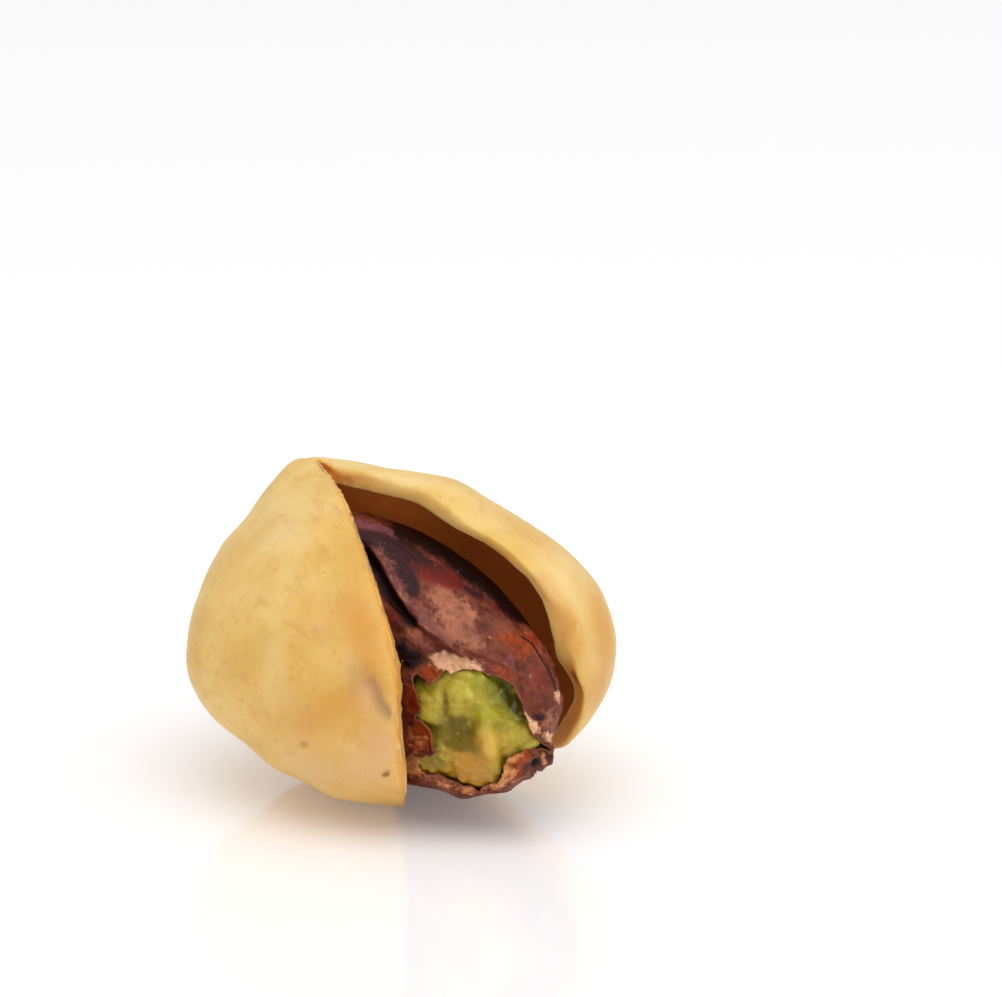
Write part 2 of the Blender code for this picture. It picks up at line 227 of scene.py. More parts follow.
# The shell: a woody husk, tumbled smooth by drying and roasting
shellIs = {
    "sharpEdge": 30.0,  # faces that meet at more than this belong to different sides of the wall
    "joinAngle": 40.0,  # pairs of triangles flatter than this become one face
    "joinSkew": 60.0,  # and how far from square that face can be
    "rimRound": 0.12,
    "rimRoundRight": 0.24,  # the right valve's rim is worn round on its outside
    "swells": ((0.12, 3.3), (0.045, 1.5), (0.016, 0.55)),  # height of the uneven surface, and its spacing
    "dents": (
        band(((0.0, -1.6), (0.22, -2.2), (0.5, -2.75), (0.95, -3.15)), 0.2, 0.32, depth=0.17),
        oval((-0.5, -3.3), (1.2, 0.6), -30.0, depth=0.07),
        oval((-3.4, 0.6), (1.6, 0.8), 60.0, depth=0.07),
        oval((-1.6, 2.2), (0.5, 2.2), -12.0, depth=0.06),
        oval((-1.68, 6.35), (0.1, 0.32), 50.0, depth=0.08),
    ),
    "facing": (0.0, 4.0),  # dents and colours from the front fade where the surface turns away
    "rimTeeth": 0.09,
    "teethSpacing": 0.24,
    "teethReach": 0.3,
    "rightTeeth": 0.3,  # share of the teeth that the right valve's worn rim still has
    "edgeGlowWidth": 0.16,
    "rightEdgeGlow": 0.15,  # the same for the orange line along the edge, a painted glow of the light through the thin edge
    "rimReach": 0.6,  # how far from the rim its own nudges reach
    "footHeight": 0.6,  # nothing moves at the floor, and everything does above this
    "gap": ((-1.67, 6.66), (-0.90, 5.04), (-0.25, 3.11), (0.45, 1.18), (1.06, -0.75), (1.30, -2.68),
            (1.45, -4.99), (1.22, -7.0)),  # the left valve's edge, downwards
    "gapMargin": 0.15,  # the right valve starts this far to the right of it
    "nudges": (  # small moves, right and up, that bring the outline to the real one
        oval((-4.76, 4.57), (1.2, 1.2), move=(0.17, -0.17)),
        oval((-4.64, -4.41), (1.1, 0.9), move=(0.12, 0.18)),
        oval((-2.64, -5.76), (1.0, 0.7), move=(0.05, 0.13)),
        oval((3.34, 5.65), (1.2, 0.8), move=(0.06, 0.2)),
        oval((-3.02, 6.50), (0.6, 0.6), move=(-0.04, 0.12)),
        oval((-7.00, -1.13), (0.6, 0.8), move=(-0.07, 0.0)),
        oval((1.40, -4.10), (0.9, 2.1), move=(-0.32, 0.0)),
        oval((6.70, -5.00), (0.7, 0.7), move=(0.25, 0.35)),
    ),
    "rimNudges": (  # the same, for the rim alone
        oval((0.90, 5.60), (1.0, 0.7), move=(-0.05, -0.12)),
        oval((3.90, 4.30), (1.2, 0.7), -35.0, move=(-0.08, -0.14)),
        oval((1.80, 4.60), (1.3, 0.45), -25.0, move=(0.04, 0.16)),
        oval((4.50, 2.85), (1.5, 0.5), -38.0, move=(0.14, 0.24)),
        oval((6.10, 1.35), (1.1, 0.45), -50.0, move=(0.22, 0.18)),
        oval((7.65, 0.40), (0.4, 0.9), move=(0.42, 0.05)),
        oval((7.30, 0.05), (0.4, 0.6), move=(-0.16, -0.08)),
        oval((7.60, -0.80), (0.45, 0.75), move=(-0.36, 0.0)),
        oval((8.25, -1.70), (0.35, 0.5), move=(-0.2, 0.0)),
        oval((7.80, -2.50), (0.35, 0.8), move=(0.22, 0.0)),
    ),
    "colours": {
        "warm": (
            oval((-1.1, -2.8), (1.9, 1.0), 20.0, share=0.55),
            oval((-0.2, 0.0), (0.7, 2.4), 12.0, share=0.65),
            oval((-1.6, 0.6), (1.2, 1.6), share=0.35),
            oval((-2.9, -3.6), (1.8, 0.9), -25.0, share=0.3),
            oval((9.0, 0.2), (0.5, 2.0), 10.0, share=0.7),
            oval((8.9, -2.6), (0.6, 1.2), share=0.6),
            oval((0.4, -4.4), (0.7, 1.0), share=0.45),
            oval((5.9, 3.9), (1.6, 0.4), -38.0, share=0.5),
            oval((-0.4, 5.9), (0.9, 0.25), -15.0, share=0.4),
        ),
        # greyish brown: darker along the dent and in a few spots, and painted shade along the bottom of the
        # left valve
        "bruiseAndShade": (
            band(((0.05, -2.0), (0.3, -2.45), (0.58, -2.88), (0.95, -3.15)), 0.2, 0.36, share=0.85),
            oval((0.4, -2.3), (0.4, 0.9), 14.0, share=0.4),
            oval((-0.55, -1.7), (0.5, 0.9), share=0.45),
            oval((-4.1, -0.4), (0.9, 0.7), share=0.2),
            # painted shade along the bottom of the left valve
            oval((-1.2, -5.6), (3.4, 0.9), -12.0, share=0.35),
            oval((-1.7, -0.1), (1.0, 0.5), 20.0, share=0.2),
        ),
        "blush": (
            oval((-0.1, -2.5), (0.55, 0.9), 20.0, share=0.6),
            oval((0.5, -4.6), (1.0, 1.0), share=0.8),
            oval((-1.6, -5.4), (2.2, 0.7), -12.0, share=0.5),
        ),
        "stain": (
            oval((0.75, -5.5), (0.3, 0.13), 20.0, share=0.9),
            oval((7.95, -1.95), (0.16, 0.3), 10.0, share=0.7),
            oval((-2.55, -4.35), (0.28, 0.25), share=0.4),
            oval((-1.68, 6.35), (0.12, 0.34), 50.0, share=1.0),
            oval((7.90, -1.75), (0.2, 0.22), share=0.4),
        ),
        # painted light: paler patches on the upper faces, where the light from above falls
        "light": (
            oval((1.6, 5.9), (1.9, 0.5), -12.0, share=0.5),
            oval((4.9, 4.4), (1.3, 0.35), -35.0, share=0.2),
            oval((7.5, 1.9), (0.9, 1.6), 35.0, share=0.6),
            oval((8.7, -1.2), (0.4, 1.2), 5.0, share=0.4),
            oval((-3.4, 4.3), (1.5, 1.5), share=0.4),
        ),
        "toasted": (
            band(((6.6, 1.9), (7.2, 0.9), (7.6, -0.2), (7.75, -1.4)), 0.5, 0.55, share=0.4),
            oval((7.95, -1.75), (0.22, 0.4), 10.0, share=0.6),
            band(((7.95, -2.2), (7.9, -3.2), (7.4, -4.2), (6.4, -5.1), (5.6, -5.5)), 0.3, 0.6, share=0.9),
            band(((-1.5, 6.3), (-1.1, 6.0), (-0.7, 5.9)), 0.1, 0.2, share=0.6),
            oval((3.0, 5.95), (0.9, 0.25), -20.0, share=0.5),
        ),
    },
    "through": "#5E3010",  # painted glow: an emission on the inside that stands in for the daylight coming through the wall
    "glowAll": 0.3,
    # where the inside's painted glow is stronger
    "glows": (
        oval((0.6, 5.1), (2.4, 0.9), -20.0, share=0.7),
        oval((7.5, -4.2), (0.7, 1.1), 20.0, share=0.4),
    ),
    "straw": ("#DDAE54", "#E6BC66", "#EDCB7E"),
    "paint": {  # low and high value of the mark, its share, and its colour
        # painted light on the upper faces
        "light": (0.0, 1.0, 0.85, "#F7DCA0"),
        "warm": (0.0, 1.0, 0.85, "#D9963A"),
        # greyish brown, partly painted shade along the bottom
        "bruiseAndShade": (0.0, 1.0, 0.6, "#A27A58"),
        "blush": (0.0, 1.0, 0.7, "#E9BD90"),
        "toasted": (0.0, 1.0, 0.9, "#C07D2C"),
        "stain": (0.2, 0.7, 0.9, "#97561F"),
        "seam": (0.2, 1.0, 0.22, "#A8763A"),
        "scar": (0.1, 0.9, 0.4, "#A87C4A"),
        "scarRing": (0.1, 1.0, 0.55, "#8A5B2E"),
    },
    # where the closed valves meet, as its direction across and the one towards the stem
    "seam": {"across": Vector((0.9875, -0.0122, 0.1572)), "along": Vector((-0.0172, 0.9828, 0.184)),
             "from": 5.2, "width": 0.16, "uneven": 0.6, "spacing": 0.8, "depth": 0.06},
    # where the nut hung on its stem
    "scar": {"at": Vector((-1.17, 9.86, 7.86)), "radius": 0.85, "depth": 0.22, "ring": 0.26,
             "ringHeight": 0.07, "ragged": 0.5, "spacing": 0.9},
}


def onRightValve(place):
    x, y = seenFromFront(place)[:2]
    return offPath(x, y, shellIs["gap"]) > shellIs["gapMargin"]


def shellSheet():
    # the node's own shape, in millimetres, with its faces told apart as outside 0, rim 1 and inside 2
    sheet = bmesh.new()
    sheet.from_mesh(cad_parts["shell"].data)
    bmesh.ops.scale(sheet, vec=(1000.0, 1000.0, 1000.0), verts=sheet.verts)
    bmesh.ops.remove_doubles(sheet, verts=sheet.verts, dist=0.001)
    bmesh.ops.join_triangles(sheet, faces=sheet.faces,
                             angle_face_threshold=math.radians(shellIs["joinAngle"]),
                             angle_shape_threshold=math.radians(shellIs["joinSkew"]))
    limit = math.radians(shellIs["sharpEdge"])
    regions, seen = [], set()
    for face in sheet.faces:
        if face in seen:
            continue
        region, queue = [], [face]
        seen.add(face)
        while queue:
            near = queue.pop()
            region.append(near)
            for edge in near.edges:
                if edge.calc_face_angle(0.0) < limit:
                    for other in edge.link_faces:
                        if other not in seen:
                            seen.add(other)
                            queue.append(other)
        regions.append(region)
    regions.sort(key=lambda region: sum(face.calc_area() for face in region), reverse=True)
    for number, region in enumerate(regions):
        for face in region:
            face.material_index = (0, 2)[number] if number < 2 else 1
    rim = [edge for edge in sheet.edges if len({face.material_index for face in edge.link_faces}) > 1]
    worn = [edge for edge in rim
            if onRightValve(edge.verts[0].co) and all(face.material_index < 2 for face in edge.link_faces)]
    crisp = [edge for edge in rim if edge not in worn]
    for edges, offset, segments in ((worn, shellIs["rimRoundRight"], 3), (crisp, shellIs["rimRound"], 2)):
        bmesh.ops.bevel(sheet, geom=[edge for edge in edges if edge.is_valid], offset=offset,
                        segments=segments, affect="EDGES", profile=0.5, material=-1, clamp_overlap=True)
    return sheet


def makeShell():
    mesh = finishedMesh(shellSheet(), "shellFinished", [("SUBSURF", {"levels": 2, "render_levels": 2})])
    count = len(mesh.vertices)
    faces, rimShare, insideShare = [0] * count, [0.0] * count, [0.0] * count
    for face in mesh.polygons:
        for index in face.vertices:
            faces[index] += 1
            rimShare[index] += face.material_index == 1
            insideShare[index] += face.material_index == 2
    rimShare = [share / number for share, number in zip(rimShare, faces)]
    insideShare = [share / number for share, number in zip(insideShare, faces)]

    edge = kdtree.KDTree(sum(1 for share in rimShare if share > 0.0))
    for index, share in enumerate(rimShare):
        if share > 0.0:
            edge.insert(mesh.vertices[index].co, index)
    edge.balance()

    normals = [vertex.normal.copy() for vertex in mesh.vertices]
    marks = {name: [0.0] * count for name in shellIs["paint"]}
    edgeGlowShare, glow = [0.0] * count, [0.0] * count
    seam, scar = shellIs["seam"], shellIs["scar"]
    for index, vertex in enumerate(mesh.vertices):
        place = vertex.co.copy()
        fromRim = edge.find(place)[2]
        outside = 1.0 - insideShare[index]
        x, y = seenFromFront(place)[:2]
        leftValve = not onRightValve(place)
        fullEdge = leftValve or insideShare[index] > 0.0
        # painted glow: an orange line along the rim's edges
        edgeGlowShare[index] = bell(fromRim, shellIs["edgeGlowWidth"]) * (1.0 if fullEdge else shellIs["rightEdgeGlow"])
        # the inside's painted glow, an emission standing in for light through the wall
        glow[index] = insideShare[index] * min(
            shellIs["glowAll"] + patchSum(x, y, shellIs["glows"], "share"), 1.0)
        facing = facesViewer(normals[index], shellIs["facing"]) * outside
        height = sum(tall * noise.noise(place / spacing + Vector((7.0, 3.0, tall * 100.0)))
                     for tall, spacing in shellIs["swells"]) * outside
        height -= patchSum(x, y, shellIs["dents"], "depth") * facing
        teeth = shellIs["rimTeeth"] * (1.0 if leftValve else shellIs["rightTeeth"])
        teeth *= bell(fromRim, shellIs["teethReach"])
        height += teeth * noise.noise(place / shellIs["teethSpacing"])
        away = place - viewIs["nutMiddle"]
        closed = smooth(away.dot(seam["along"]) - seam["from"]) * outside
        width = seam["width"] * (1.0 + seam["uneven"] * noise.noise(place / seam["spacing"]))
        marks["seam"][index] = bell(away.dot(seam["across"]), width) * closed
        fromScar = (place - scar["at"]).length + scar["ragged"] * noise.noise(place / scar["spacing"])
        marks["scar"][index] = smooth((scar["radius"] - fromScar) / scar["radius"] + 0.5) * outside
        marks["scarRing"][index] = bell(fromScar - scar["radius"], scar["ring"]) * outside
        height -= seam["depth"] * marks["seam"][index] + scar["depth"] * marks["scar"][index]
        height += scar["ringHeight"] * marks["scarRing"][index]
        move = normals[index] * height
        nearRim = bell(fromRim, shellIs["rimReach"])
        for nudges, share in ((shellIs["nudges"], 1.0), (shellIs["rimNudges"], nearRim)):
            for nudge in nudges:
                amount = patchAmount(x, y, nudge) * share
                move += (viewRight * nudge["move"][0] + viewUp * nudge["move"][1]) * amount
        vertex.co = place + move * smooth(place.z / shellIs["footHeight"])
        for name, patches in shellIs["colours"].items():
            marks[name][index] = min(patchSum(x, y, patches, "share"), 1.0) * facing
    mesh.update()
    marks.update(inside=insideShare, rim=rimShare, edge=edgeGlowShare, glow=glow)
    for name, values in marks.items():
        putAttribute(mesh, name, values)
    return finishPiece(mesh, "pistachioShell", roastedShell(), "shell")


def roastedShell():
    # Dried and roasted nutshell: dense pale wood, tumbled to a satin. Light goes a millimetre or two into
    # it, so its edges glow orange and the inside is lit through the wall; that glow is also painted, as an
    # orange line along the edges, an orange inside and a faint emission there. Straw in clouds of about 3
    # mm, toasted in patches of 8 mm, with flecks of 0.4 mm and a faint grain 0.5 mm wide along the nut.
    # Paler patches on the upper faces are painted light, and painted shade darkens the bottom of the left
    # valve.
    material, tree = newMaterial("roastedNutshell")
    place = addNode(tree, "TexCoord").outputs["Object"]
    along = addNode(tree, "Mapping", inputs={"Vector": place, "Scale": (1.0, 0.22, 1.0)}).outputs["Vector"]
    cloud, toast, grain, fleck = (
        addNode(tree, "TexNoise", inputs={
            "Vector": where, "Scale": scale, "Detail": detail, "Roughness": 0.6}).outputs["Fac"]
        for where, scale, detail in (
            (place, 300.0, 5.0), (place, 125.0, 6.0), (along, 1900.0, 4.0), (place, 2600.0, 3.0)))
    straw = addNode(tree, "ValToRGB", inputs={"Fac": cloud}, stops=[
        (spot, hexColour(code)) for spot, code in zip((0.34, 0.5, 0.66), shellIs["straw"])])
    marks = brokenMarks(tree, shellIs["paint"], cloud, 0.5)
    rim, inside, edge, glow = (addNode(tree, "Attribute", {"attribute_name": name}).outputs["Fac"]
                               for name in ("rim", "inside", "edge", "glow"))
    colour = paintLayers(tree, straw.outputs["Color"], [
        (toast, 0.48, 0.72, 0.5, "#DCA046"),
        (grain, 0.52, 0.72, 0.28, "#C48C44"),
        (fleck, 0.6, 0.74, 0.3, "#B07F42"),
        (rim, 0.0, 1.0, 0.5, "#EDBE6C")]
        + [(marks[name], *paint) for name, paint in shellIs["paint"].items()] + [
        # orange along the rim's edges, a painted glow of the light through the thin edge
        (edge, 0.1, 1.0, 0.65, "#DE9540"),
        # the inside painted orange, standing in for the warm light that comes through the wall
        (inside, 0.0, 0.5, 1.0, "#C98A40")])
    # painted glow: the inside emits this colour in place of the daylight through the wall
    through = addNode(tree, "MixRGB", inputs={
        "Fac": glow, "Color1": hexColour("#000000"), "Color2": hexColour(shellIs["through"])})
    rough = addNode(tree, "MapRange", inputs={
        "Value": cloud, "From Min": 0.3, "From Max": 0.7, "To Min": 0.38, "To Max": 0.52})
    relief = addNode(tree, "Math", {"operation": "MULTIPLY_ADD"},
                     {0: grain, 1: 1.2, 2: fleck})
    bump = addNode(tree, "Bump", inputs={"Strength": 0.5, "Distance": 0.00005, "Height": relief.outputs[0]})
    shader = addNode(tree, "BsdfPrincipled", inputs={
        "Base Color": colour, "Roughness": rough.outputs["Result"], "IOR": 1.48,
        "Normal": bump.outputs["Normal"], "Specular IOR Level": 0.35,
        "Emission Color": through.outputs["Color"], "Emission Strength": 1.0,
        "Subsurface Weight": 0.75, "Subsurface Radius": (1.0, 0.8, 0.45), "Subsurface Scale": 0.0008})
    addNode(tree, "OutputMaterial", inputs={"Surface": shader.outputs["BSDF"]})
    return material


# The seed: an egg shape that the skin wraps and the kernel fills
seedIs = {
    "middle": viewIs["nutMiddle"] + Vector((0.55, -1.73, -0.25)),
    "azimuth": 18.7,
    "elevation": -10.9,
    "radii": (4.04, 4.40, 8.95),  # half its width, height and length
    "showing": ((-0.9, -6.8), (7.8, 5.0)),  # lowest and highest place of what shows from the front
    "rounds": (3.0, 0.25),  # how far behind the left valve's edge each round of smaller faces reaches
}
seedRight, seedUp, seedTowards = axesOf(seedIs["azimuth"], seedIs["elevation"])


def seedShape(detail, inset):
    # the seed's egg as a bmesh, shrunk by inset, with smaller faces where it shows between the valves
    egg = bmesh.new()
    bmesh.ops.create_icosphere(egg, subdivisions=detail, radius=1.0)
    size = Vector([radius - inset for radius in seedIs["radii"]])
    turn = Matrix((seedRight, seedUp, seedTowards)).transposed().to_4x4()
    place = Matrix.Translation(seedIs["middle"]) @ turn @ Matrix.Diagonal((*size, 1.0))
    low, high = seedIs["showing"]
    for behind in seedIs["rounds"]:
        showing = set()
        for vertex in egg.verts:
            x, y = seenFromFront(place @ vertex.co)[:2]
            outward = turn.to_3x3() @ Vector([a / b for a, b in zip(vertex.co, size)]).normalized()
            inWindow = low[0] < x < high[0] and low[1] < y < high[1]
            if inWindow and offPath(x, y, shellIs["gap"]) > -behind and outward.dot(viewTowards) > 0.0:
                showing.add(vertex)
        edges = [edge for edge in egg.edges if all(vertex in showing for vertex in edge.verts)]
        bmesh.ops.subdivide_edges(egg, edges=edges, cuts=1, use_grid_fill=True)
        for vertex in egg.verts:
            vertex.co.normalize()
    bmesh.ops.triangulate(egg, faces=egg.faces)
    bmesh.ops.transform(egg, matrix=place, verts=egg.verts)
    egg.normal_update()
    return egg


def seedPlace(point):
    # right, up and along the seed, in its own axes
    away = point - seedIs["middle"]
    return Vector((away.dot(seedRight), away.dot(seedUp), away.dot(seedTowards)))


# The tear in the skin, as seen from the front
tearIs = {
    "outline": (
        (1.68, -1.78), (1.8, -1.67), (2.13, -1.89), (2.45, -2.11), (2.56, -2.08), (2.73, -1.77),
        (2.85, -1.59), (2.97, -1.48), (3.11, -1.65), (3.34, -1.62), (3.55, -1.53), (3.91, -1.53),
        (4.23, -1.58), (4.52, -1.71), (4.73, -1.74), (4.98, -1.83), (5.19, -1.98), (5.44, -2.23),
        (5.62, -2.51), (5.73, -2.87), (5.84, -3.15), (5.96, -3.44), (6.09, -3.76), (6.3, -4.01),
        (6.51, -4.19), (6.76, -4.43), (6.48, -4.46), (6.23, -4.54), (5.98, -4.58), (5.69, -4.63),
        (5.41, -4.79), (5.16, -5.04), (5.02, -5.26), (4.84, -5.44), (4.62, -5.65), (4.44, -5.79),
        (4.23, -5.9), (3.98, -5.88), (3.62, -5.83), (3.27, -5.74), (2.91, -5.62), (2.59, -5.51),
        (2.23, -5.47), (1.95, -5.37), (1.88, -5.15), (1.95, -4.9), (2.23, -4.8), (2.48, -4.75),
        (2.66, -4.54), (2.52, -4.37), (2.48, -4.08), (2.34, -3.8), (2.2, -3.69), (2.05, -3.44),
        (1.75, -3.37), (1.89, -3.21), (2, -2.94), (1.91, -2.65), (1.8, -2.3), (1.71, -2.01),
    ),
    "ragged": ((0.05, 0.5), (0.035, 0.17), (0.02, 0.07)),  # how far the outline strays, and its spacing
    "front": 4.5,  # only faces this far towards the viewer are cut
}


def insideTear(x, y):
    inside = False
    outline = tearIs["outline"]
    for (ax, ay), (bx, by) in zip(outline, outline[1:] + outline[:1]):
        if (ay > y) != (by > y) and x < ax + (bx - ax) * (y - ay) / (by - ay):
            inside = not inside
    return inside


